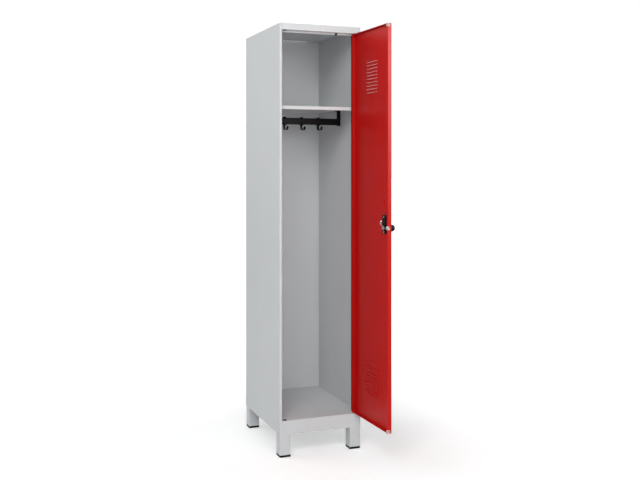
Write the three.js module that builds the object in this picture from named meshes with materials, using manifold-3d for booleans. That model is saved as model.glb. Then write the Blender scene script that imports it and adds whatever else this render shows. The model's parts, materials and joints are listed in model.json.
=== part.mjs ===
// A single-door steel cloakroom locker on four square legs, with its door standing open.
// Millimetres, +Z up. The locker faces -Y and +X is to the right of someone facing it.
// The origin is the middle of the front left foot's sole.
import * as THREE from 'three';
import { mergeVertices } from 'three/addons/utils/BufferGeometryUtils.js';
import Module from 'manifold-3d';

const wasm = await Module();
wasm.setup();

// ---- Driving dimensions -------------------------------------------------------------

const GAP = 0.3; // clearance between pieces that touch
const ROUND_STEPS = 24; // facets of a full turn on pins, bushes and holes
const ARC_STEPS = 2; // half the facets of a rounded corner

// Cabinet, measured from its outer left side (x), its front plane (y) and the floor (z)
const CABINET_W = 375;
const CABINET_D = 500;
const CABINET_H = 1850;
const SHEET = 1; // thickness of all folded steel sheet
const UNDERSIDE = 96; // lower edge of the cabinet's skirt
const SILL_TOP = 156; // the sill's ledge and the compartment floor
const RAIL_UNDERSIDE = 1822; // ledge under the top front rail
const POST_W = 10.5; // face width of the folded front posts
const POST_D = 24; // depth of the posts, the sill's ledge and the top ledge
const REAR_FLANGE = 15; // side panel's flange behind the rear panel
const STOP_LIP = 7.5; // lip that hangs from the back of the top ledge

// Legs and feet
const LEG = 49; // square tube
const LEG_WALL = 1.5;
const LEG_TOP = 144;
const FOOT = 9; // visible height of the plastic foot

// Vent slots in a row across the roof, just in front of the rear panel
const VENTS = 15;
const VENT_W = 7;
const VENT_L = 20;
const VENT_PITCH = 16;
const VENT_FROM_REAR = 15; // from the cabinet's rear face to the middle of a slot

// Hat shelf, which starts just behind the front posts
const SHELF_TOP = 1500;
const SHELF_FLANGE = 14.5;

// Coat rail and its sliding hooks
const RAIL_Y = 232;
const RAIL_Z = 1445;
const RAIL_H = 30;
const RAIL_T = 15;
const RAIL_WALL = 2;
const RAIL_END = 4.5; // from the side panel's inner face to the end of the rail
const HOOKS = 3;
const HOOK_PITCH = 82;
const HOOK_MIDDLE = 184; // where the middle hook is parked along the rail
const HOOK_W = 10;
const HOOK_T = 5;
const HOOK_DROP = 41; // from the rail's middle to the underside of a hook
const HOOK_REACH = 42; // from the rail's middle forward to the middle of a hook's tip

// Door, a shallow pan hung on a pin at the top and one at the bottom
const DOOR_GAP = 3; // between the door's edges and the posts
const DOOR_END_GAP = 3.2; // between the door's ends and the ledges
const PAN_D = 16.5;
const PAN_LIP = 10; // return lip along both long edges
const PIN_SETBACK = 12.5; // from the door's hinge edge to the pin axis
const PIN_R = 4;
const EDGE_STRIP_W = 8; // rubber strip along the hinge edge's lip
const EDGE_STRIP_T = 1.8;
const EDGE_STRIP_SETBACK = 1.5; // from the door's hinge edge
const OPEN_AT_REST = 91.5; // degrees

// Louvres: two groups of hoods pressed into the pan, open below
const LOUVRES = 10;
const LOUVRE_L = 106;
const LOUVRE_PITCH = 14.5;
const LOUVRE_GROUPS_Z = [338, 1620];
const LOUVRE_PROUD = 4.5; // how far a hood stands in from the door's inner face
const LOUVRE_H = 7; // height of a hood on the door's face
const LOUVRE_SLOT = 2.1; // depth of the slot that each hood leaves open below

// Pressed dimple above the lock
const DIMPLE_FROM_EDGE = 60;
const DIMPLE_Z = 1092;
const DIMPLE_W = 12;
const DIMPLE_H = 27;
const DIMPLE_OUT = 2.5;

// Lock
const LOCK_FROM_EDGE = 43; // from the door's free edge to the spindle
const LOCK_Z = 986;
const CASE_W = 30;
const CASE_BOTTOM = 964;
const CASE_TOP = 1040.5;
const CASE_BACK = 13; // behind the door's outer face
const KNOB_R = 14.5; // the knob is a ball on a neck
const KNOB_CENTRE = 21.5; // the ball's middle, out from the door's outer face
const KNOB_NECK_R = 9;
const KNOB_FLAT_R = 6.5; // the flat on the ball's front, round the key plug
const ROSETTE_R = 16;
const ROSETTE_T = 1.4;
const SPINDLE_R = 5;
const STUD_R = 3;
const LEVER_T = 3;
const NUT_R = 5.4; // to the corners
const NUT_T = 3.6;
const BOLT_R = 4.5;
const BOLT_Y = 15; // behind the door's outer face
const BOLT_Z = LOCK_Z + 2;
const BOLT_TAIL = 17;
const SLEEVE_R = 8;
const SLEEVE_END = 7.2;
const STRIKE_R = 6.2; // hole in the left post for the bolt

// ---- Derived places -----------------------------------------------------------------

const DOOR_W = CABINET_W - 2 * (POST_W + DOOR_GAP);
const DOOR_BOTTOM = SILL_TOP + DOOR_END_GAP;
const DOOR_TOP = RAIL_UNDERSIDE - DOOR_END_GAP;
const PIN_FROM_SIDE = POST_W + DOOR_GAP + PIN_SETBACK;
const PIN_Y = PAN_D / 2;
const PIN_XS = { left: PIN_FROM_SIDE, right: CABINET_W - PIN_FROM_SIDE };
const INSIDE = SHEET + GAP; // first free millimetre inside a side panel
const REAR_FACE = CABINET_D - SHEET - GAP; // outer face of flanges behind the rear panel
const KNOB_OUT = KNOB_CENTRE + Math.sqrt(KNOB_R ** 2 - KNOB_FLAT_R ** 2); // front of the knob's flat

// ---- Materials ----------------------------------------------------------------------

const paint = (color) => ({ color, roughness: 0.45, metalness: 0 });
const plastic = (color) => ({ color, roughness: 0.55, metalness: 0 });
const metal = (color) => ({ color, roughness: 0.25, metalness: 1 });
const GREY_PAINT = paint(0xcfd1d2);
const RED_PAINT = paint(0xa51c18);
const BLACK_PLASTIC = plastic(0x1a1a18);
const PALE_PLASTIC = plastic(0xd3cfca);
const BLACK_RUBBER = { color: 0x161616, roughness: 0.85, metalness: 0 };
const CHROME = metal(0xd8d8da);
const STEEL = metal(0xa9abad);

// ---- Shape helpers ------------------------------------------------------------------

function toSolid(geometry) {
  const bare = geometry.clone();
  bare.deleteAttribute('normal');
  bare.deleteAttribute('uv');
  const merged = mergeVertices(bare, 1e-4);
  return new wasm.Manifold(new wasm.Mesh({
    numProp: 3,
    vertProperties: new Float32Array(merged.attributes.position.array),
    triVerts: new Uint32Array(merged.index.array),
  }));
}

function toGeometry(solid) {
  const mesh = solid.getMesh();
  const geometry = new THREE.BufferGeometry();
  geometry.setAttribute('position', new THREE.BufferAttribute(new Float32Array(mesh.vertProperties), 3));
  geometry.setIndex(new THREE.BufferAttribute(new Uint32Array(mesh.triVerts), 1));
  return geometry;
}

const join = (first, ...others) => others.reduce((sum, next) => sum.add(next), first);
const cut = (first, ...others) => others.reduce((rest, next) => rest.subtract(next), first);

function box([x0, x1], [y0, y1], [z0, z1]) {
  const geometry = new THREE.BoxGeometry(x1 - x0, y1 - y0, z1 - z0);
  geometry.translate((x0 + x1) / 2, (y0 + y1) / 2, (z0 + z1) / 2);
  return toSolid(geometry);
}

// Where a flat outline's own axes point when it is extruded along each axis of the part
const FRAMES = {
  x: [[0, 1, 0], [0, 0, 1], [1, 0, 0]],
  y: [[0, 0, 1], [1, 0, 0], [0, 1, 0]],
  z: [[1, 0, 0], [0, 1, 0], [0, 0, 1]],
};

// An outline swept from start to end along one axis. The outline is given in the two other
// axes, in the order (y, z) for x, (z, x) for y and (x, y) for z.
function prism(axis, outline, [start, end], holes = []) {
  const shape = outline instanceof THREE.Shape
    ? outline : new THREE.Shape(outline.map(([a, b]) => new THREE.Vector2(a, b)));
  shape.holes.push(...holes);
  const geometry = new THREE.ExtrudeGeometry(shape, {
    depth: end - start, bevelEnabled: false, curveSegments: ARC_STEPS,
  });
  const [u, v, w] = FRAMES[axis].map((part) => new THREE.Vector3(...part));
  geometry.applyMatrix4(new THREE.Matrix4().makeBasis(u, v, w));
  geometry.translate(...w.multiplyScalar(start).toArray());
  return toSolid(geometry);
}

// A closed body of revolution about an axis of the part. The profile is a list of
// [radius, height along the axis], from the axis round to the axis again, or a closed ring.
function turned(axis, profile, [a, b], segments = ROUND_STEPS) {
  const points = profile.map(([r, h]) => new THREE.Vector2(r, h));
  if (profile[0][0] > 0) points.push(points[0].clone());
  const geometry = new THREE.LatheGeometry(points, segments);
  geometry.rotateX(Math.PI / 2); // the lathe turns about y, so its axis is stood on z
  const [u, v, w] = FRAMES[axis].map((part) => new THREE.Vector3(...part));
  geometry.applyMatrix4(new THREE.Matrix4().makeBasis(u, v, w));
  geometry.translate(...u.multiplyScalar(a).add(v.multiplyScalar(b)).toArray());
  const solid = toSolid(geometry);
  if (solid.volume() > 0) return solid;
  geometry.index.array.reverse(); // a profile drawn the other way round is turned inside out
  return toSolid(geometry);
}

const rod = (axis, r, place, [from, to], segments = ROUND_STEPS) =>
  turned(axis, [[0, from], [r, from], [r, to], [0, to]], place, segments);
const ring = (axis, r, hole, place, [from, to]) =>
  turned(axis, [[hole, from], [r, from], [r, to], [hole, to]], place);

// The outline of folded sheet: a path along its outer face and the same path stepped in by
// the sheet's thickness, to the right of the way the path runs.
function folded(path, thickness = SHEET) {
  const points = path.map(([a, b]) => new THREE.Vector2(a, b));
  const rights = points.slice(1).map((point, i) => {
    const way = point.clone().sub(points[i]).normalize();
    return new THREE.Vector2(way.y, -way.x);
  });
  const inner = points.map((point, i) => {
    const before = rights[Math.max(i - 1, 0)];
    const after = rights[Math.min(i, rights.length - 1)];
    const miter = before.clone().add(after);
    return point.clone().addScaledVector(miter, thickness * 2 / miter.lengthSq());
  });
  return [...points, ...inner.reverse()].map((point) => [point.x, point.y]);
}

function roundedShape([a0, a1], [b0, b1], radius) {
  const shape = new THREE.Shape();
  shape.moveTo(a0 + radius, b0);
  shape.lineTo(a1 - radius, b0);
  shape.absarc(a1 - radius, b0 + radius, radius, -Math.PI / 2, 0, false);
  shape.lineTo(a1, b1 - radius);
  shape.absarc(a1 - radius, b1 - radius, radius, 0, Math.PI / 2, false);
  shape.lineTo(a0 + radius, b1);
  shape.absarc(a0 + radius, b1 - radius, radius, Math.PI / 2, Math.PI, false);
  shape.lineTo(a0, b0 + radius);
  shape.absarc(a0 + radius, b0 + radius, radius, Math.PI, Math.PI * 1.5, false);
  return shape;
}

function piece(name, solid, finish) {
  const mesh = new THREE.Mesh(toGeometry(solid), new THREE.MeshStandardMaterial(finish));
  mesh.name = name;
  return mesh;
}

const mirrorX = (solid) => solid.mirror([1, 0, 0]).translate([CABINET_W, 0, 0]);
const around = (centre, reach) => [centre - reach, centre + reach];

// ---- Cabinet ------------------------------------------------------------------------

const INNER_X = [INSIDE, CABINET_W - INSIDE]; // between the side panels
const BETWEEN_POSTS = [POST_W + GAP, CABINET_W - POST_W - GAP];
const POST_ZONE_Y = [-1, POST_D + GAP];

// The two boxes that the front posts take out of a sheet running the full inner width
const postZones = (z) => [
  box([0, BETWEEN_POSTS[0]], POST_ZONE_Y, z),
  box([BETWEEN_POSTS[1], CABINET_W], POST_ZONE_Y, z),
];

// One sheet folded into the outer side, the hollow front post and the rear flange
function leftSidePanel() {
  const hem = 6;
  const outline = folded([
    [POST_W - hem, POST_D], [POST_W, POST_D], [POST_W, 0], [0, 0],
    [0, REAR_FACE], [REAR_FLANGE, REAR_FACE],
  ]);
  const sheet = prism('z', outline, [UNDERSIDE, CABINET_H]);
  const roofDeck = [CABINET_H - SHEET - GAP, CABINET_H + 1];
  const underRoof = box([SHEET, REAR_FLANGE + 1], [SHEET, CABINET_D], roofDeck);
  const underSill = box([SHEET, POST_W + 1], [SHEET, POST_D + 1], [UNDERSIDE - 1, SILL_TOP + GAP]);
  return cut(sheet, underRoof, underSill);
}

// The right panel is the left one mirrored; only the left one has the hole for the bolt
const strikeHole = () => rod('x', STRIKE_R, [BOLT_Y, BOLT_Z], [SHEET + 1, POST_W + 1]);

const rearPanel = () =>
  box([GAP, CABINET_W - GAP], [CABINET_D - SHEET, CABINET_D], [UNDERSIDE, CABINET_H]);

const bushHoles = (z) => Object.values(PIN_XS).map((x) => rod('z', BUSH.hole, [x, PIN_Y], z));

function ventSlots() {
  const firstVent = (CABINET_W - (VENTS - 1) * VENT_PITCH) / 2;
  const along = around(CABINET_D - VENT_FROM_REAR, VENT_L / 2);
  return Array.from({ length: VENTS }, (_, i) => prism('z',
    roundedShape(around(firstVent + i * VENT_PITCH, VENT_W / 2), along, VENT_W / 2 - 0.01),
    [CABINET_H - SHEET - 1, CABINET_H + 1]));
}

// Roof, top front rail, ledge and door-stop lip, folded from one sheet
function roofPanel() {
  const outline = folded([
    [POST_D, RAIL_UNDERSIDE - STOP_LIP], [POST_D, RAIL_UNDERSIDE], [0, RAIL_UNDERSIDE],
    [0, CABINET_H], [REAR_FACE, CABINET_H],
  ]);
  const sheet = prism('x', outline, INNER_X);
  const deckUnderside = CABINET_H - SHEET - GAP;
  const corners = [[0, BETWEEN_POSTS[0]], [BETWEEN_POSTS[1], CABINET_W]].map((x) =>
    box(x, [-1, INSIDE], [RAIL_UNDERSIDE - 1, CABINET_H + 1]));
  const belowDeck = postZones([RAIL_UNDERSIDE - STOP_LIP - 1, deckUnderside + GAP])
    .map((zone) => zone.translate([0, SHEET, 0]));
  return cut(sheet, ...corners, ...belowDeck, ...bushHoles([RAIL_UNDERSIDE - 1, RAIL_UNDERSIDE + 2]),
    ...ventSlots());
}

// Front skirt and the ledge that carries the lower bushes
function sillRail() {
  const foot = 20;
  const outline = folded([
    [POST_D, SILL_TOP - 10], [POST_D, SILL_TOP], [0, SILL_TOP], [0, UNDERSIDE], [foot, UNDERSIDE],
  ].reverse());
  const sheet = prism('x', outline, BETWEEN_POSTS);
  const legZone = INSIDE + LEG + GAP;
  const legZones = [[0, legZone], [CABINET_W - legZone, CABINET_W]].map((x) =>
    box(x, [SHEET, foot + 1], [UNDERSIDE - 1, UNDERSIDE + 2]));
  return cut(sheet, ...legZones, ...bushHoles([SILL_TOP - 2, SILL_TOP + 1]));
}

// A tray that lies upside down: a flat top with its four edges folded down
function tray(y, top, flange) {
  const outer = box(INNER_X, y, [top - flange, top]);
  const inner = box([INNER_X[0] + SHEET, INNER_X[1] - SHEET], [y[0] + SHEET, y[1] - SHEET],
    [top - flange - 1, top - SHEET]);
  return cut(outer, inner);
}

const floorPanel = () =>
  tray([POST_D + SHEET + GAP, REAR_FACE - SHEET - GAP], SILL_TOP, 10);

const hatShelf = () =>
  tray([POST_D + GAP, REAR_FACE - SHEET - GAP], SHELF_TOP, SHELF_FLANGE);

// ---- Legs and feet ------------------------------------------------------------------

function legTube() {
  const outer = box([0, LEG], [0, LEG], [FOOT + GAP, LEG_TOP]);
  const inner = box([LEG_WALL, LEG - LEG_WALL], [LEG_WALL, LEG - LEG_WALL], [0, LEG_TOP + 1]);
  return cut(outer, inner);
}

// A plastic cup pushed up into the tube, with a flat pad that shows below it
function footCap() {
  const plug = LEG_WALL + GAP;
  const wall = 2.5;
  const rise = 18;
  const cup = box([plug, LEG - plug], [plug, LEG - plug], [FOOT - 1, FOOT + rise]);
  const hollow = box([plug + wall, LEG - plug - wall], [plug + wall, LEG - plug - wall],
    [FOOT, FOOT + rise + 1]);
  const pad = prism('z', roundedShape([GAP, LEG - GAP], [GAP, LEG - GAP], 1.5), [0, FOOT]);
  return cut(join(pad, cup), hollow);
}

const LEG_PLACES = {
  front_left: [INSIDE, INSIDE],
  front_right: [CABINET_W - INSIDE - LEG, INSIDE],
  rear_left: [INSIDE, REAR_FACE - SHEET - GAP - LEG],
  rear_right: [CABINET_W - INSIDE - LEG, REAR_FACE - SHEET - GAP - LEG],
};

// ---- Bushes, buffer and coat rail ---------------------------------------------------

const BUSH = { flange: 8.5, flangeT: 2.2, barrel: 6, hole: 6.3, length: 10, bore: PIN_R + GAP };

// A flanged plastic bush. It stands on z = 0 with its flange above and its barrel below.
function bush() {
  return turned('z', [
    [BUSH.bore, -BUSH.length], [BUSH.barrel, -BUSH.length], [BUSH.barrel, GAP],
    [BUSH.flange, GAP], [BUSH.flange, BUSH.flangeT - 0.6], [BUSH.flange - 0.6, BUSH.flangeT],
    [BUSH.bore, BUSH.flangeT],
  ], [0, 0]);
}

// A rubber block clipped up over the stop lip; the closed door rests on its front
function doorBuffer() {
  const front = PAN_D + 0.8;
  const lip = [POST_D - SHEET - GAP, POST_D + SHEET + GAP];
  const bottom = RAIL_UNDERSIDE - STOP_LIP - GAP;
  const top = RAIL_UNDERSIDE - GAP;
  const outline = [
    [front, bottom - 2], [lip[1] + 2, bottom - 2], [lip[1] + 2, bottom + 5], [lip[1], bottom + 5],
    [lip[1], bottom], [lip[0], bottom], [lip[0], top], [front, top],
  ];
  return prism('x', outline, [262, 272]);
}

function coatRail() {
  const reach = (t) => [around(RAIL_Y, RAIL_T / 2 - t), around(RAIL_Z, RAIL_H / 2 - t)];
  const hole = roundedShape(...reach(RAIL_WALL), 3);
  const ends = [SHEET + RAIL_END, CABINET_W - SHEET - RAIL_END];
  return prism('x', roundedShape(...reach(0), 5), ends, [hole]);
}

// A hanger that drops from under the shelf's deck and closes round the end of the rail
function leftRailBracket() {
  const wall = 3;
  const socketEnd = 14;
  const side = INSIDE + SHEET + GAP; // clear of the shelf's side flange
  const top = SHELF_TOP - SHEET - GAP;
  const halfT = RAIL_T / 2 + GAP;
  const halfH = RAIL_H / 2 + GAP;
  const cheek = around(RAIL_Y, halfT + wall);
  const plate = box([side, SHEET + RAIL_END - GAP], cheek, [RAIL_Z - halfH - wall, top]);
  const socket = prism('x', roundedShape(cheek, around(RAIL_Z, halfH + wall), 7), [side + 1, socketEnd]);
  const stalk = box([side + 1, socketEnd], around(RAIL_Y, 6), [RAIL_Z + halfH + 1, top]);
  const foot = box([side, socketEnd + 8], cheek, [top - 4, top]);
  const seat = prism('x', roundedShape(around(RAIL_Y, halfT), around(RAIL_Z, halfH), 5 + GAP),
    [SHEET + RAIL_END - GAP, socketEnd + 1]);
  return cut(join(plate, socket, stalk, foot), seat);
}

// A sleeve round the rail, a shank down from its underside and a long hook that runs forward
function coatHook(x) {
  const clear = 0.5;
  const wall = HOOK_T - 1;
  const inner = { y: RAIL_T / 2 + clear, z: RAIL_H / 2 + clear };
  const outline = roundedShape(around(RAIL_Y, inner.y + wall), around(RAIL_Z, inner.z + wall), 8);
  const opening = roundedShape(around(RAIL_Y, inner.y), around(RAIL_Z, inner.z), 5.4);
  const sleeve = cut(prism('x', outline, around(x, HOOK_W / 2)), prism('x', opening, around(x, HOOK_W)));

  const bend = 10;
  const low = RAIL_Z - HOOK_DROP + HOOK_T / 2;
  const shankY = RAIL_Y + 3;
  const tipY = RAIL_Y - HOOK_REACH;
  const at = (y, z) => new THREE.Vector3(x, y, z);
  const path = new THREE.CurvePath();
  path.add(new THREE.LineCurve3(at(shankY, RAIL_Z - inner.z - wall / 2), at(shankY, low + bend)));
  path.add(new THREE.QuadraticBezierCurve3(at(shankY, low + bend), at(shankY, low), at(shankY - bend, low)));
  path.add(new THREE.LineCurve3(at(shankY - bend, low), at(tipY + bend, low)));
  path.add(new THREE.QuadraticBezierCurve3(at(tipY + bend, low), at(tipY + 2, low), at(tipY, low + bend)));
  const strip = new THREE.Shape(roundedShape(around(0, HOOK_T / 2), around(0, HOOK_W / 2), 1.5).getPoints(1));
  const hook = new THREE.ExtrudeGeometry(strip, { steps: 14, bevelEnabled: false, extrudePath: path });
  const tip = new THREE.SphereGeometry(5, 10, 6);
  tip.translate(x, tipY, low + bend);
  return join(sleeve, toSolid(hook), toSolid(tip));
}

// ---- Door ---------------------------------------------------------------------------
// Door pieces are drawn with the door shut: x runs from the free edge (0) to the hinge edge
// (DOOR_W), and y runs inward from the door's outer face (0).

const CORNER_CAP = { length: 11, front: 5, back: 20, height: 14 };

const bothEnds = (build) => [build('bottom', DOOR_BOTTOM, 1), build('top', DOOR_TOP, -1)];
// The z range that starts a and ends b inward from one end of the door
const fromEnd = (end, inward, a, b) => [end + inward * a, end + inward * b].sort((p, q) => p - q);

// One pressed hood: its outer form, and the hollow that opens it in front and, by a slot, below
function louvre(z) {
  const across = [(DOOR_W - LOUVRE_L) / 2, (DOOR_W + LOUVRE_L) / 2];
  const top = z + LOUVRE_H / 2;
  const bottom = z - LOUVRE_H / 2;
  const wall = 0.9;
  const belly = { y: SHEET + LOUVRE_PROUD, z: bottom + 2.4 }; // where the hood turns back to the door
  const shoulder = { y: SHEET + LOUVRE_PROUD * 0.72, z: bottom + 4.2 };
  const form = prism('x', [
    [SHEET / 2, bottom], [SHEET + LOUVRE_SLOT + wall, bottom], [belly.y, belly.z],
    [shoulder.y, shoulder.z], [SHEET / 2, top],
  ], across);
  const behind = SHEET + 0.05;
  const hollow = prism('x', [
    [-1, bottom], [behind, bottom], [behind, bottom - 1], [SHEET + LOUVRE_SLOT, bottom - 1],
    [SHEET + LOUVRE_SLOT, bottom], [belly.y - wall, belly.z],
    [shoulder.y - wall, shoulder.z - wall / 2], [SHEET, top - 1.3], [-1, top - 1.3],
  ], [across[0] + wall, across[1] - wall]);
  return { form, hollow };
}

function doorPanel() {
  const outline = folded([
    [PAN_LIP, PAN_D], [0, PAN_D], [0, 0], [DOOR_W, 0], [DOOR_W, PAN_D], [DOOR_W - PAN_LIP, PAN_D],
  ].reverse());
  let pan = prism('z', outline, [DOOR_BOTTOM, DOOR_TOP]);
  bothEnds((_, end, inward) => {
    pan = join(pan, box([0, DOOR_W], [0, PAN_D], fromEnd(end, inward, 0, SHEET)));
    pan = cut(pan,
      box([-1, CORNER_CAP.length + GAP], [CORNER_CAP.front - GAP, PAN_D + 1],
        fromEnd(end, inward, -1, CORNER_CAP.height + GAP)),
      rod('z', PIN_R + GAP, [DOOR_W - PIN_SETBACK, PIN_Y], fromEnd(end, inward, -1, 2)));
  });

  const louvres = LOUVRE_GROUPS_Z.flatMap((middle) => Array.from({ length: LOUVRES }, (_, i) =>
    louvre(middle + (i - (LOUVRES - 1) / 2) * LOUVRE_PITCH)));
  pan = cut(join(pan, ...louvres.map((one) => one.form)), ...louvres.map((one) => one.hollow));

  const obround = (grow) => {
    const halfW = DIMPLE_W / 2 + grow;
    return roundedShape(around(DIMPLE_Z, DIMPLE_H / 2 + grow), around(DIMPLE_FROM_EDGE, halfW), halfW - 0.01);
  };
  pan = join(pan, prism('y', obround(0), [-DIMPLE_OUT, SHEET / 2]));
  pan = cut(pan, prism('y', obround(-SHEET), [-DIMPLE_OUT + SHEET, SHEET + 1]));

  return cut(pan,
    rod('y', SPINDLE_R + GAP, [LOCK_Z, LOCK_FROM_EDGE], [-1, 2]),
    rod('x', SLEEVE_R + GAP, [BOLT_Y, BOLT_Z], [-1, PAN_LIP + 1]),
    box([-1, PAN_LIP + 1], [BOLT_Y, PAN_D + 1], around(BOLT_Z, SLEEVE_R + GAP)));
}

// A pale plastic cap that fills the cut corner of the pan at the free edge
function cornerCap(end, inward) {
  const { length, front, back, height } = CORNER_CAP;
  return prism('z', roundedShape([0, length], [front, back], 3), fromEnd(end, inward, 0, height));
}

// A strip of black rubber along the inner face of the lip at the hinge edge
function hingeEdgeStrip() {
  const outer = DOOR_W - EDGE_STRIP_SETBACK;
  const face = PAN_D + GAP;
  const endMargin = 6;
  return box([outer - EDGE_STRIP_W, outer], [face, face + EDGE_STRIP_T],
    [DOOR_BOTTOM + endMargin, DOOR_TOP - endMargin]);
}

// A steel pin with its head inside the door's end flange, welded there and painted with the door
function hingePin(end, inward) {
  const head = { r: 6.5, t: 2.5 };
  const under = SHEET + GAP; // underside of the flange, measured inward
  const tip = -(DOOR_END_GAP + BUSH.length - 1);
  const profile = [
    [0, under + head.t], [head.r, under + head.t], [head.r, under], [PIN_R, under],
    [PIN_R, tip + 1], [PIN_R - 1, tip], [0, tip],
  ].map(([r, h]) => [r, end + inward * h]);
  return turned('z', profile, [DOOR_W - PIN_SETBACK, PIN_Y]);
}

// ---- Lock ---------------------------------------------------------------------------

const SPINDLE = [LOCK_Z, LOCK_FROM_EDGE]; // the spindle's axis, as (z, x) for turning about y
const SCREW_ZS = [CASE_BOTTOM + 7, CASE_TOP - 8];
const SCREW_R = 2;
const HUB_BACK = CASE_BACK + GAP + LEVER_T; // inner face of the lever's hub

function lockCase() {
  const body = prism('y', roundedShape([CASE_BOTTOM, CASE_TOP], around(LOCK_FROM_EDGE, CASE_W / 2), 4),
    [SHEET + GAP, CASE_BACK]);
  const screwHoles = SCREW_ZS.map((z) =>
    rod('y', SCREW_R + GAP, [z, LOCK_FROM_EDGE], [0, CASE_BACK + 1], 16));
  return cut(body, rod('y', SPINDLE_R + GAP, SPINDLE, [0, CASE_BACK + 1]), ...screwHoles);
}

// Pan-head screw through the case, with a cross recess
function lockScrew(z) {
  const back = CASE_BACK + GAP;
  const screw = turned('y', [
    [0, SHEET + GAP], [SCREW_R, SHEET + GAP], [SCREW_R, back], [3.8, back], [3.8, back + 1.4],
    [2.6, back + 2.4], [0, back + 2.6],
  ], [z, LOCK_FROM_EDGE], 16);
  const slot = (a, b) => box(around(LOCK_FROM_EDGE, a), [back + 1.5, back + 3], around(z, b));
  return cut(screw, slot(0.5, 2.2), slot(2.2, 0.5));
}

const rosette = () => turned('y', [
  [SPINDLE_R + GAP, -GAP], [ROSETTE_R, -GAP], [ROSETTE_R, -GAP - ROSETTE_T + 0.5],
  [ROSETTE_R - 0.5, -GAP - ROSETTE_T], [SPINDLE_R + GAP, -GAP - ROSETTE_T],
], SPINDLE);

const KEY = { r: 4.6, seat: 4.9, depth: 9 };
const KNOB_BACK = -GAP * 2 - ROSETTE_T;
const SPINDLE_FRONT = -KNOB_OUT + KEY.depth + 1;

// A ball on a neck, with a flat front round the key plug's seat and a socket for the spindle
function knob() {
  const steps = 9;
  const first = Math.asin(KNOB_NECK_R / KNOB_R); // angles from the axis on the door's side
  const last = Math.PI - Math.asin(KNOB_FLAT_R / KNOB_R);
  const ball = Array.from({ length: steps + 1 }, (_, i) => {
    const angle = first + (last - first) * i / steps;
    return [KNOB_R * Math.sin(angle), KNOB_R * Math.cos(angle) - KNOB_CENTRE];
  });
  const body = turned('y', [
    [0, KNOB_BACK], [KNOB_NECK_R + 1.5, KNOB_BACK], [KNOB_NECK_R, KNOB_BACK - 1.5], ...ball, [0, -KNOB_OUT],
  ], SPINDLE, 32);
  return cut(body,
    rod('y', KEY.seat, SPINDLE, [-KNOB_OUT - 1, -KNOB_OUT + KEY.depth]),
    rod('y', SPINDLE_R + GAP, SPINDLE, [SPINDLE_FRONT - GAP, 0]));
}

function keyPlug() {
  const plug = rod('y', KEY.r, SPINDLE, [-KNOB_OUT - 0.4, -KNOB_OUT + KEY.depth - GAP]);
  const keyway = box(around(LOCK_FROM_EDGE, 0.7), [-KNOB_OUT - 1, -KNOB_OUT + 5], around(LOCK_Z, 3));
  return cut(plug, keyway);
}

// The spindle steps down to a threaded stud that carries the lever and its nut
function spindle() {
  const shoulder = CASE_BACK;
  const end = HUB_BACK + GAP + NUT_T + 0.8;
  return turned('y', [
    [0, SPINDLE_FRONT], [SPINDLE_R, SPINDLE_FRONT], [SPINDLE_R, shoulder], [STUD_R, shoulder],
    [STUD_R, end - 0.8], [STUD_R - 0.8, end], [0, end],
  ], SPINDLE);
}

// A flat hub and a C-shaped strip that stands inward and returns to the door above
function camLever() {
  const hub = ring('y', 8, STUD_R + GAP, SPINDLE, [HUB_BACK - LEVER_T, HUB_BACK]);
  const at = (y, dz) => new THREE.Vector3(LOCK_FROM_EDGE, y, LOCK_Z + dz);
  const middle = HUB_BACK - LEVER_T / 2;
  const path = new THREE.CatmullRomCurve3([
    at(middle, 6.5), at(middle + 4, 10), at(middle + 10.5, 14), at(middle + 13.5, 21),
    at(middle + 12, 28.5), at(middle + 6, 34),
  ]);
  const section = new THREE.Shape(roundedShape(around(0, 3.4), around(0, 1.8), 1.5).getPoints(1));
  const strip = new THREE.ExtrudeGeometry(section, { steps: 14, bevelEnabled: false, extrudePath: path });
  return join(hub, toSolid(strip));
}

function spindleNut() {
  const hexagon = Array.from({ length: 6 }, (_, i) => [
    LOCK_Z + NUT_R * Math.cos(i * Math.PI / 3), LOCK_FROM_EDGE + NUT_R * Math.sin(i * Math.PI / 3)]);
  const nut = prism('y', hexagon, [HUB_BACK + GAP, HUB_BACK + GAP + NUT_T]);
  return cut(nut, rod('y', STUD_R + GAP, SPINDLE, [HUB_BACK, HUB_BACK + NUT_T + 1]));
}

const BOLT = [BOLT_Y, BOLT_Z];
const boltSleeve = () => ring('x', SLEEVE_R, BOLT_R + GAP, BOLT, [GAP, SLEEVE_END]);
const latchBolt = () => turned('x', [
  [0, 0.5], [BOLT_R - 1, 0.5], [BOLT_R, 1.5], [BOLT_R, BOLT_TAIL], [0, BOLT_TAIL],
], BOLT);

// ---- Assembly -----------------------------------------------------------------------

const locker = new THREE.Group();
// From the cabinet's front left floor corner to the middle of the front left foot
locker.position.set(-(INSIDE + LEG / 2), -(INSIDE + LEG / 2), 0);

const leftSide = leftSidePanel();
locker.add(
  piece('side_panel_left', cut(leftSide, strikeHole()), GREY_PAINT),
  piece('side_panel_right', mirrorX(leftSide), GREY_PAINT),
  piece('rear_panel', rearPanel(), GREY_PAINT),
  piece('roof_panel', roofPanel(), GREY_PAINT),
  piece('sill_rail', sillRail(), GREY_PAINT),
  piece('floor_panel', floorPanel(), GREY_PAINT),
  piece('hat_shelf', hatShelf(), GREY_PAINT),
);

for (const [corner, [x, y]] of Object.entries(LEG_PLACES)) {
  const leg = piece(`leg_${corner}`, legTube(), GREY_PAINT);
  const foot = piece(`foot_cap_${corner}`, footCap(), BLACK_PLASTIC);
  leg.position.set(x, y, 0);
  foot.position.set(x, y, 0);
  locker.add(leg, foot);
}

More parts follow.
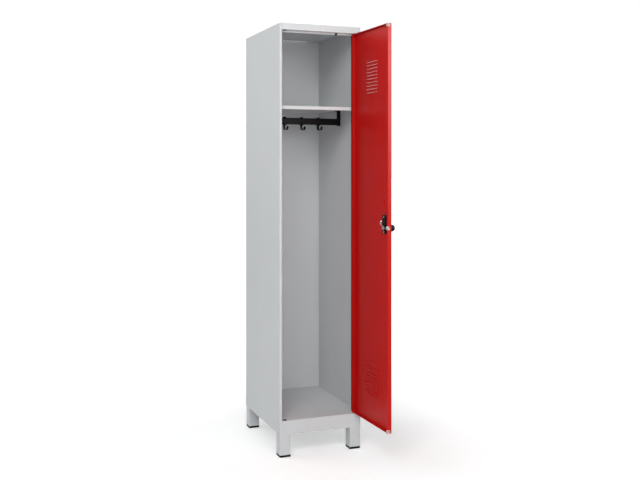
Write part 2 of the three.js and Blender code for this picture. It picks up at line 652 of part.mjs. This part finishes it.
for (const [side, x] of Object.entries(PIN_XS)) {
  const upper = piece(`hinge_bush_top_${side}`, bush(), BLACK_PLASTIC);
  const lower = piece(`hinge_bush_bottom_${side}`, bush(), BLACK_PLASTIC);
  upper.position.set(x, PIN_Y, RAIL_UNDERSIDE);
  upper.rotation.x = Math.PI; // flange hangs under the top ledge
  lower.position.set(x, PIN_Y, SILL_TOP);
  locker.add(upper, lower);
}

locker.add(
  piece('door_buffer', doorBuffer(), BLACK_RUBBER),
  piece('coat_rail', coatRail(), BLACK_PLASTIC),
  piece('rail_bracket_left', leftRailBracket(), BLACK_PLASTIC),
  piece('rail_bracket_right', mirrorX(leftRailBracket()), BLACK_PLASTIC),
);

['left', 'middle', 'right'].slice(0, HOOKS).forEach((side, i) => {
  const x = HOOK_MIDDLE + (i - (HOOKS - 1) / 2) * HOOK_PITCH;
  locker.add(piece(`coat_hook_${side}`, coatHook(x), BLACK_PLASTIC));
});

// The door is drawn shut, then turned open about its pins
const door = new THREE.Group();
door.add(
  piece('door_panel', doorPanel(), RED_PAINT),
  piece('hinge_edge_strip', hingeEdgeStrip(), BLACK_RUBBER),
);
bothEnds((end, z, inward) => {
  door.add(piece(`corner_cap_${end}`, cornerCap(z, inward), PALE_PLASTIC));
  door.add(piece(`hinge_pin_${end}`, hingePin(z, inward), RED_PAINT));
});
SCREW_ZS.forEach((z, i) => door.add(piece(`lock_screw_${['bottom', 'top'][i]}`, lockScrew(z), STEEL)));
door.add(
  piece('lock_case', lockCase(), BLACK_PLASTIC),
  piece('knob_rosette', rosette(), BLACK_PLASTIC),
  piece('knob', knob(), BLACK_PLASTIC),
  piece('key_plug', keyPlug(), CHROME),
  piece('lock_spindle', spindle(), STEEL),
  piece('cam_lever', camLever(), CHROME),
  piece('spindle_nut', spindleNut(), CHROME),
  piece('bolt_sleeve', boltSleeve(), CHROME),
  piece('latch_bolt', latchBolt(), STEEL),
);
door.position.set(-(DOOR_W - PIN_SETBACK), -PIN_Y, 0);

const hinge = new THREE.Group();
hinge.position.set(PIN_XS.right, PIN_Y, 0);
hinge.rotation.z = THREE.MathUtils.degToRad(OPEN_AT_REST);
hinge.add(door);
locker.add(hinge);

export default locker;
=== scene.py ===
"""A steel school locker with its door standing open: its fine surfaces, finishes, stage and light."""

import json
import math

import bmesh
import bpy
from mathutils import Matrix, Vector


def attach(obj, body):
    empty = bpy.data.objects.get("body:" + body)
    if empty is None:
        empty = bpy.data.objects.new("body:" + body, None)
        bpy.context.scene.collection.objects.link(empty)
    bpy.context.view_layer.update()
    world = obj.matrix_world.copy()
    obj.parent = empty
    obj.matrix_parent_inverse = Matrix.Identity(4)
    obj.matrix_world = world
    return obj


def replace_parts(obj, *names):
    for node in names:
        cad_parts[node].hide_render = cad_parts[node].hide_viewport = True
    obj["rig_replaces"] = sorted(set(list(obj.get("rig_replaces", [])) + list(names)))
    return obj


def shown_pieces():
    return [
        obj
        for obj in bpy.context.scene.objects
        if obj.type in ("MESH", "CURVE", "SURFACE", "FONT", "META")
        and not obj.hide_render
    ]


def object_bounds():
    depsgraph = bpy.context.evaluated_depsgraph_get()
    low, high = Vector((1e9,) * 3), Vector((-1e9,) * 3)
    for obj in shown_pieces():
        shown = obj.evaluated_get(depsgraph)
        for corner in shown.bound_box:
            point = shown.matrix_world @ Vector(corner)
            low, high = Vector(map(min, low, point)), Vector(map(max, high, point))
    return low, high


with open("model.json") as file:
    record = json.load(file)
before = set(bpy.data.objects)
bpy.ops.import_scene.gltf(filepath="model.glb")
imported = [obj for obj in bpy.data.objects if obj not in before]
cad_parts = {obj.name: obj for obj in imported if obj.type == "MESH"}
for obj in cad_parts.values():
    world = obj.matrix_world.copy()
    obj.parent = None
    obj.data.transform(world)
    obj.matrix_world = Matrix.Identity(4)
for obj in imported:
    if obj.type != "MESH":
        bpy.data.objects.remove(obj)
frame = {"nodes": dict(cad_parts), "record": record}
CAD_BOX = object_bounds()

MM = 0.001
BODY_OF = {node: body for body, nodes in frame["record"]["behaviour"]["bodies"].items() for node in nodes}
SLOT_OF = {part["node"]: part["material_slot"] for part in frame["record"]["subparts"]}

# ---- Shapes: sizes in metres ----------------------------------------------------------

WELD = 0.01 * MM  # corners closer than this are one corner
FLAT = math.radians(1.0)  # faces that meet at less than this lie in one plane
CREASE = math.radians(25)  # edges sharper than this are rounded
SHEET = 1.0 * MM
FOLD_OUTSIDE = 1.5 * MM  # radius of folded sheet, outside and inside the fold
FOLD_INSIDE = 0.6 * MM
SHEARED = 0.16 * MM  # rounding along a cut edge of sheet
THICKNESS_SHOWS = 1.3 * SHEET  # a face narrower than this is the sheet's cut edge
TUBE_CORNER = 2.0 * MM  # rounding of the legs' corners, and of their cut ends
TUBE_END = 0.3 * MM
WALL_SHOWS = 5 * MM  # a leg's face narrower than this is the tube's cut end
SMALL_PART = 0.4 * MM  # rounding of every other piece
MOST_ROOM = 0.42  # share of a flat face that one rounding may take up
STEPS = 3  # facets of a rounding
FAR = 10  # room beside an edge with nothing opposite, in lengths of that edge
EASE = 0.5  # how far each pass of easing moves a remeshed corner


def cleaned(node):
    """A bmesh of a CAD node with its split corners joined and its flat faces whole."""
    bm = bmesh.new()
    bm.from_mesh(frame["nodes"][node].data)
    bmesh.ops.remove_doubles(bm, verts=bm.verts, dist=WELD)
    bmesh.ops.dissolve_limit(bm, angle_limit=FLAT, verts=bm.verts, edges=bm.edges)
    bmesh.ops.connect_verts_concave(bm, faces=bm.faces)
    bm.normal_update()
    return bm


def flat_regions(bm):
    """For each face, the edges round the whole flat region that it belongs to."""
    outlines = {}
    for start in bm.faces:
        if start in outlines:
            continue
        region, waiting = {start}, [start]
        while waiting:
            for edge in waiting.pop().edges:
                if len(edge.link_faces) == 2 and edge.calc_face_angle(math.pi) < FLAT:
                    fresh = [other for other in edge.link_faces if other not in region]
                    region.update(fresh)
                    waiting.extend(fresh)
        outline = [e for f in region for e in f.edges if not all(other in region for other in e.link_faces)]
        outlines.update((f, outline) for f in region)
    return outlines


def room(edge, face, outline):
    """How far the flat region reaches from the edge to the nearest outline opposite."""
    a, b = (v.co for v in edge.verts)
    across = face.normal.cross(b - a).normalized()
    if across.dot(face.calc_center_median() - a) < 0:
        across.negate()
    along = (b - a).normalized()
    nearest = FAR * (b - a).length
    for share in (0.1, 0.5, 0.9):
        start = a.lerp(b, share)
        for other in outline:
            if other is edge:
                continue
            c, d = (v.co - start for v in other.verts)
            c_side, d_side = c.dot(along), d.dot(along)
            if c_side * d_side <= 0 and c_side != d_side:
                reach = c.lerp(d, c_side / (c_side - d_side)).dot(across)
                if reach > WELD:
                    nearest = min(nearest, reach)
    return nearest


def weigh_edges(bm, radius_of):
    """Gives each sharp edge the radius that radius_of(edge, narrowest room beside it) asks for."""
    layer = bm.edges.layers.float.new("bevel_weight_edge")
    outlines = flat_regions(bm)
    for edge in bm.edges:
        if len(edge.link_faces) == 2 and edge.calc_face_angle(0) > CREASE:
            narrowest = min(room(edge, face, outlines[face]) for face in edge.link_faces)
            radius = min(radius_of(edge, narrowest), MOST_ROOM * narrowest)
            edge[layer] = radius / FOLD_OUTSIDE


def bake(obj):
    """Replaces an object's mesh by what its modifiers make of it, in the same finish."""
    finish = obj.data.materials[0]
    bpy.context.view_layer.update()
    evaluated = obj.evaluated_get(bpy.context.evaluated_depsgraph_get())
    obj.data = bpy.data.meshes.new_from_object(evaluated)
    obj.modifiers.clear()
    obj.data.materials.clear()
    obj.data.materials.append(finish)


def placed(mesh, node):
    """Links a fine mesh as the piece that stands for one CAD node."""
    obj = bpy.data.objects.new(f"{node}_fine", mesh)
    bpy.context.scene.collection.objects.link(obj)
    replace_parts(obj, node)
    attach(obj, BODY_OF[node])
    obj.data.materials.append(FINISHES[SLOT_OF[node]])
    return obj


def smooth(obj):
    for polygon in obj.data.polygons:
        polygon.use_smooth = True


def rounded(node, radius_of):
    """The CAD node with its edges rounded."""
    bm = cleaned(node)
    weigh_edges(bm, radius_of)
    mesh = bpy.data.meshes.new(f"{node}_fine")
    bm.to_mesh(mesh)
    bm.free()
    obj = placed(mesh, node)
    bevel = obj.modifiers.new("round", "BEVEL")
    bevel.width, bevel.segments = FOLD_OUTSIDE, STEPS
    bevel.limit_method = "WEIGHT"
    bevel.use_clamp_overlap = False
    bake(obj)
    smooth(obj)
    even = obj.modifiers.new("even", "WEIGHTED_NORMAL")
    even.keep_sharp = True


def sheet_radius(edge, narrowest):
    """The radius of a fold, or of a cut edge where the sheet's thickness shows."""
    if narrowest < THICKNESS_SHOWS:
        return SHEARED if edge.is_convex else 0
    return FOLD_OUTSIDE if edge.is_convex else FOLD_INSIDE


def tube_radius(edge, narrowest):
    """The radius of a leg's long corners, or of its cut ends."""
    return TUBE_CORNER if narrowest > WALL_SHOWS else TUBE_END


def small_radius(edge, narrowest):
    """The same slight rounding on every edge."""
    return SMALL_PART


def moulded(node, voxel, passes):
    """The CAD node remeshed finely and eased, as a moulded or cast piece is."""
    mesh = frame["nodes"][node].data.copy()
    mesh.materials.clear()
    obj = placed(mesh, node)
    remesh = obj.modifiers.new("fine", "REMESH")
    remesh.mode, remesh.voxel_size = "VOXEL", voxel
    ease = obj.modifiers.new("ease", "SMOOTH")
    ease.factor, ease.iterations = EASE, passes
    bake(obj)
    smooth(obj)


# ---- Materials ------------------------------------------------------------------------

MIX_COLOUR_A, MIX_COLOUR_B, MIX_COLOUR_RESULT = 6, 7, 2  # a Mix node's sockets when it mixes colours


class Nodes:
    """A node tree, built one node at a time."""

    def __init__(self, tree):
        self.tree = tree

    def add(self, kind, settings=None, **inputs):
        node = self.tree.nodes.new(kind)
        for key, value in (settings or {}).items():
            setattr(node, key, value)
        for key, value in inputs.items():
            self.feed(node.inputs[key.replace("_", " ")], value)
        return node

    def feed(self, socket, value):
        if isinstance(value, bpy.types.NodeSocket):
            self.tree.links.new(value, socket)
        else:
            socket.default_value = value

    def maths(self, operation, first, second=0.0):
        node = self.add("ShaderNodeMath", {"operation": operation})
        self.feed(node.inputs[0], first)
        self.feed(node.inputs[1], second)
        return node.outputs[0]


class Graph(Nodes):
    """A material's nodes. place is the piece's own coordinates."""

    def __init__(self, name):
        self.material = bpy.data.materials.new(name)
        self.material.use_nodes = True
        super().__init__(self.material.node_tree)
        self.shader = self.tree.nodes["Principled BSDF"]
        self.place = self.add("ShaderNodeTexCoord").outputs["Object"]

    def noise(self, size, detail=2.0, roughness=0.5, place=None):
        """Noise between 0 and 1 whose features are about size metres across."""
        return self.add("ShaderNodeTexNoise", Vector=place or self.place, Scale=1 / size,
                        Detail=detail, Roughness=roughness).outputs["Fac"]

    def spread(self, value, low, high, from_low=0.3, from_high=0.7):
        """Value stretched from its usual range to low..high."""
        node = self.add("ShaderNodeMapRange")
        for key, number in (("Value", value), ("From Min", from_low), ("From Max", from_high),
                            ("To Min", low), ("To Max", high)):
            self.feed(node.inputs[key], number)
        return node.outputs["Result"]

    def mix(self, amount, first, second, blend="MIX"):
        node = self.add("ShaderNodeMix", {"data_type": "RGBA", "blend_type": blend})
        self.feed(node.inputs["Factor"], amount)
        self.feed(node.inputs[MIX_COLOUR_A], first)
        self.feed(node.inputs[MIX_COLOUR_B], second)
        return node.outputs[MIX_COLOUR_RESULT]

    def bump(self, height, strength, depth, normal=None):
        node = self.add("ShaderNodeBump", Height=height, Strength=strength, Distance=depth)
        if normal is not None:
            self.feed(node.inputs["Normal"], normal)
        return node.outputs["Normal"]

    def edges(self, radius):
        """0 on flat ground, rising to 1 along edges and corners."""
        soft = self.add("ShaderNodeBevel", {"samples": 4}, Radius=radius).outputs["Normal"]
        hard = self.add("ShaderNodeNewGeometry").outputs["Normal"]
        node = self.add("ShaderNodeVectorMath", {"operation": "DOT_PRODUCT"})
        self.feed(node.inputs[0], soft)
        self.feed(node.inputs[1], hard)
        return self.spread(node.outputs["Value"], 1.0, 0.0, 0.8, 1.0)

    def finish(self, **inputs):
        for key, value in inputs.items():
            self.feed(self.shader.inputs[key.replace("_", " ")], value)
        return self.material


def shade(colour, factor):
    return (*[min(1.0, channel * factor) for channel in colour[:3]], 1.0)


def powder_coat(name, colour, roughness, gloss):
    """Baked powder paint: a fine orange peel, faint mottling, and a paler tint on edges that is partly a
    thinner film and partly painted highlight.
    """
    graph = Graph(name)
    peel = graph.noise(1.3 * MM, detail=1.5)
    grain = graph.noise(0.35 * MM, detail=1.0)
    cloud = graph.noise(140 * MM, detail=3.0)
    tone = graph.mix(graph.spread(cloud, 0.0, 1.0), shade(colour, 0.99), shade(colour, 1.01))
    tone = graph.mix(graph.spread(grain, 0.0, 0.3), tone, shade(colour, 0.95))
    # paler along edges and corners: partly a thinner film of paint, partly painted highlight
    tone = graph.mix(graph.maths("MULTIPLY", graph.edges(1.2 * MM), 0.22), tone, shade(colour, 1.35))
    rough = graph.spread(graph.noise(60 * MM, detail=4.0), roughness - 0.03, roughness + 0.03)
    normal = graph.bump(peel, 0.12, 0.05 * MM)
    normal = graph.bump(grain, 0.10, 0.02 * MM, normal)
    return graph.finish(Base_Color=tone, Roughness=rough, Specular_IOR_Level=gloss, Normal=normal)


def moulding(name, colour, roughness, gloss, grain_size):
    """Injection-moulded plastic: a fine spark-eroded grain and slight flow marks."""
    graph = Graph(name)
    grain = graph.noise(grain_size, detail=2.0)
    flow = graph.noise(18 * MM, detail=4.0)
    tone = graph.mix(graph.spread(flow, 0.0, 1.0), shade(colour, 0.88), shade(colour, 1.15))
    # paler along edges and corners: painted highlight
    tone = graph.mix(graph.maths("MULTIPLY", graph.edges(0.6 * MM), 0.35), tone, shade(colour, 1.9))
    rough = graph.spread(flow, roughness - 0.06, roughness + 0.06)
    return graph.finish(Base_Color=tone, Roughness=rough, Specular_IOR_Level=gloss,
                        Normal=graph.bump(grain, 0.22, 0.05 * MM))


def rubber(name, colour):
    graph = Graph(name)
    grain = graph.noise(0.5 * MM, detail=3.0)
    dust = graph.spread(graph.noise(9 * MM, detail=5.0), 0.0, 0.35, 0.45, 0.75)
    tone = graph.mix(dust, (*colour, 1.0), shade(colour, 2.6))
    return graph.finish(Base_Color=tone, Roughness=0.85, Normal=graph.bump(grain, 0.4, 0.1 * MM))


def plating(name, colour, roughness, streak):
    """Plated steel: fine polishing lines along one axis, and a faint haze."""
    graph = Graph(name)
    stretched = graph.add("ShaderNodeMapping", Vector=graph.place, Scale=(1.0, 1.0, streak)).outputs["Vector"]
    lines = graph.noise(0.25 * MM, detail=2.0, place=stretched)
    haze = graph.noise(5 * MM, detail=4.0)
    tone = graph.mix(graph.spread(haze, 0.0, 1.0), shade(colour, 0.86), (*colour, 1.0))
    rough = graph.spread(haze, roughness, roughness + 0.12)
    return graph.finish(Base_Color=tone, Metallic=1.0, Roughness=rough,
                        Normal=graph.bump(lines, 0.12, 0.02 * MM))


GREY = (0.672, 0.694, 0.706)
RED = (0.580, 0.0070, 0.0050)
BLACK = (0.0045, 0.0047, 0.0048)
# PALE is light-grey plastic tinted pink: the pink is painted red light thrown on the caps by the door
PALE = (0.55, 0.36, 0.33)

FINISHES = {
    "grey_paint": powder_coat("grey_powder_coat", GREY, 0.42, 0.08),
    "red_paint": powder_coat("red_powder_coat", RED, 0.32, 0.18),
    "black_plastic": moulding("black_moulding", BLACK, 0.42, 0.12, 0.45 * MM),
    "pale_plastic": moulding("pale_moulding", PALE, 0.45, 0.3, 0.45 * MM),
    "black_rubber": rubber("black_rubber", (0.010, 0.010, 0.010)),
    "chrome": plating("bright_plating", (0.80, 0.79, 0.79), 0.14, 0.08),
    "zinc_steel": plating("zinc_plating", (0.52, 0.53, 0.53), 0.26, 0.08),
}

# ---- Pieces ---------------------------------------------------------------------------

SHEET_METAL = ["side_panel_left", "side_panel_right", "rear_panel", "roof_panel", "sill_rail",
               "floor_panel", "hat_shelf", "door_panel"]
CORNERS = [f"{end}_{side}" for end in ("front", "rear") for side in ("left", "right")]
BENT_RODS = [*[f"coat_hook_{place}" for place in ("left", "middle", "right")], "cam_lever"]
MOULDINGS = ["rail_bracket_left", "rail_bracket_right", "door_buffer"]

for node in SHEET_METAL:
    rounded(node, sheet_radius)
for corner in CORNERS:
    rounded(f"leg_{corner}", tube_radius)
for node in BENT_RODS:
    moulded(node, voxel=0.6 * MM, passes=6)
for node in MOULDINGS:
    moulded(node, voxel=0.7 * MM, passes=4)

# the rest include the black strip along the door's hinge edge: painted shade, standing for the shadowed gap
# there
done = {piece["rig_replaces"][0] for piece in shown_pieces() if "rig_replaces" in piece}
for node in sorted(set(frame["nodes"]) - done):
    rounded(node, small_radius)

# ---- Stage, light and camera ----------------------------------------------------------

EYE = (-1.2166, -3.5115, 1.2368)
YAW = 20.57  # degrees to the right of straight into the locker
SENSOR = 36  # millimetres
LENS = 48.77  # millimetres
SHIFT_X = 0.0225  # of the sensor's width
SHIFT_Y = -0.1142

WHITE = (1.0, 1.0, 1.0, 1.0)
FLOOR_SIZE = 400  # metres, so that it reaches the skyline
FLOOR_GLOW = 0.35  # what the camera sees added beside the locker, rising to white
FLOOR_FADE = (0.6, 2.2)  # metres from the origin where the rise starts and ends
GLOW = [("X", -1, 0.39), ("X", 1, 0.80), ("Y", 1, 1.13)]  # axis, direction along it, strength
SOFTBOXES = {  # middle, side and power: metres and watts
    "front": ((0.1, -5.0, 1.5), 2.0, 46),
    "front_close": ((-0.35, -2.6, 2.2), 1.2, 17),
    "front_left_high": ((-2.4, -3.6, 3.7), 2.0, 97),
    "back_left": ((-3.6, 2.4, 3.0), 2.2, 44),
    "top": ((0.2, -0.6, 5.0), 2.5, 13),
    "glint": ((1.75, -3.7, 2.5), 2.2, 190),
}


def stage():
    """A floor that shows white to the camera wherever the locker doesn't shade it."""
    bpy.ops.mesh.primitive_plane_add(size=FLOOR_SIZE, location=(0, 0, 0))
    floor = bpy.context.object
    floor.name = "floor"
    graph = Graph("pale_floor")
    tone = graph.mix(graph.noise(400 * MM, detail=2.0), (0.86, 0.86, 0.86, 1.0), (0.90, 0.90, 0.90, 1.0))
    seen = graph.add("ShaderNodeLightPath").outputs["Is Camera Ray"]
    here = graph.add("ShaderNodeNewGeometry").outputs["Position"]
    away = graph.add("ShaderNodeVectorMath", {"operation": "LENGTH"}, Vector=here).outputs["Value"]
    glow = graph.spread(away, FLOOR_GLOW, 1.0, *FLOOR_FADE)
    graph.feed(graph.shader.inputs["Emission Color"], WHITE)
    graph.feed(graph.shader.inputs["Emission Strength"], graph.maths("MULTIPLY", seen, glow))
    floor.data.materials.append(graph.finish(Base_Color=tone, Roughness=0.9, Specular_IOR_Level=0.0))


def studio_world():
    """White to the camera. It lights the locker only from the sides that GLOW names, most from there."""
    world = bpy.data.worlds.new("studio")
    world.use_nodes = True
    nodes = Nodes(world.node_tree)
    around = nodes.add("ShaderNodeTexCoord").outputs["Generated"]
    split = nodes.add("ShaderNodeSeparateXYZ", Vector=around)
    total = 0.0
    for axis, sign, strength in GLOW:
        facing = nodes.maths("MAXIMUM", nodes.maths("MULTIPLY", split.outputs[axis], sign), 0.0)
        lobe = nodes.maths("POWER", facing, 2.0)
        total = nodes.maths("ADD", total, nodes.maths("MULTIPLY", lobe, strength))
    seen = nodes.add("ShaderNodeLightPath").outputs["Is Camera Ray"]
    background = world.node_tree.nodes["Background"].inputs
    nodes.feed(background["Color"], WHITE)
    nodes.feed(background["Strength"], nodes.maths("MAXIMUM", total, seen))
    bpy.context.scene.world = world


def soft_light(name, place, target, size, power):
    data = bpy.data.lights.new(name, "AREA")
    data.shape, data.size, data.energy = "SQUARE", size, power
    obj = bpy.data.objects.new(name, data)
    bpy.context.scene.collection.objects.link(obj)
    obj.location = place
    obj.rotation_euler = (Vector(target) - Vector(place)).to_track_quat("-Z", "Y").to_euler()
    return obj


def camera():
    """Eye-level camera to the left of the locker, with a shifted lens so that uprights stay upright.
    The shift holds only while the camera stands in this place."""
    data = bpy.data.cameras.new("camera")
    obj = bpy.data.objects.new("camera", data)
    bpy.context.scene.collection.objects.link(obj)
    obj.location = EYE
    obj.rotation_euler = (math.pi / 2, 0, -math.radians(YAW))
    data.sensor_width, data.lens = SENSOR, LENS
    data.clip_end = 100
    for path, amount in (("shift_x", SHIFT_X), ("shift_y", SHIFT_Y)):
        driver = data.driver_add(path).driver
        driver.type = "SCRIPTED"
        reading = driver.variables.new()
        reading.name = "x"
        reading.type = "TRANSFORMS"
        reading.targets[0].id = obj
        reading.targets[0].transform_type = "LOC_X"
        driver.expression = f"{amount} * (abs(x - {EYE[0]}) < {MM})"
    bpy.context.scene.camera = obj


stage()
studio_world()
camera()
middle = (CAD_BOX[0] + CAD_BOX[1]) / 2
for name, (place, size, power) in SOFTBOXES.items():
    soft_light(name, place, middle, size, power)
bpy.data.objects["glint"].visible_diffuse = False  # only seen in the gloss of faces turned to the front

bpy.context.scene.view_settings.view_transform = "Standard"
bpy.context.scene.view_settings.look = "None"
